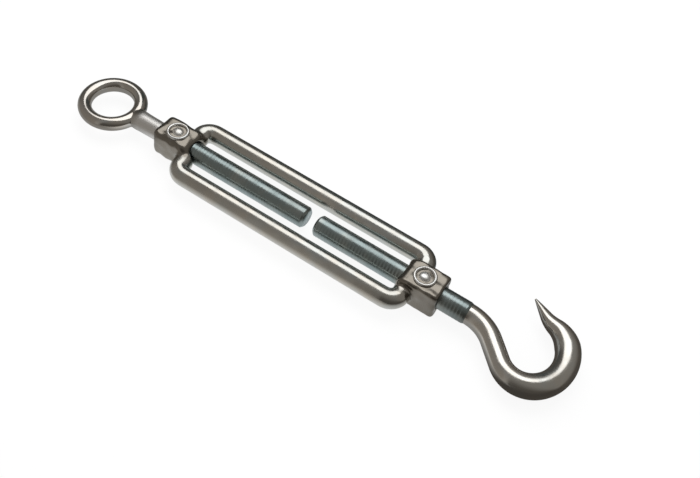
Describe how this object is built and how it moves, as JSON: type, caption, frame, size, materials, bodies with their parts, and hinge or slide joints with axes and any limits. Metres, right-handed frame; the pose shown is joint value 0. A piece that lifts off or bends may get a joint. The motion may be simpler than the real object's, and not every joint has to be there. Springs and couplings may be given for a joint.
{
  "type": "hook and eye turnbuckle",
  "caption": "Open-frame rigging turnbuckle: an eye bolt and a hook bolt thread into the ends of a cast body and draw together as it turns.",
  "frame": {"origin": "centre of the eye's hole, on the thread axis, at the middle of the ring's bar", "axes": "+X along the thread axis from the eye to the hook, +Y across it in the plane of the two rails, on the side the hook's mouth faces, +Z through the eye's hole, towards the side of the body with the raised marks"},
  "size_m": [0.2055, 0.0371, 0.0128],
  "materials": {
    "cast_zinc": "bright zinc plating over a malleable iron casting",
    "forged_zinc": "bright zinc plating over drawn and forged steel"
  },
  "bodies": {
    "frame_body": {"frame_body": "cast_zinc"},
    "eye_bolt": {"eye_ring": "forged_zinc", "eye_rod": "forged_zinc"},
    "hook_bolt": {"hook_bolt": "forged_zinc"}
  },
  "joints": [
    {"name": "eye_travel", "type": "slide", "parent": "frame_body", "child": "eye_bolt", "axis": [-1, 0, 0], "range_m": [-0.002, 0.034]},
    {"name": "hook_travel", "type": "slide", "parent": "frame_body", "child": "hook_bolt", "axis": [1, 0, 0], "range_m": [-0.002, 0.034]}
  ],
  "couplings": [
    {"joint": "eye_travel", "follows": "hook_travel", "ratio": 1}
  ]
}
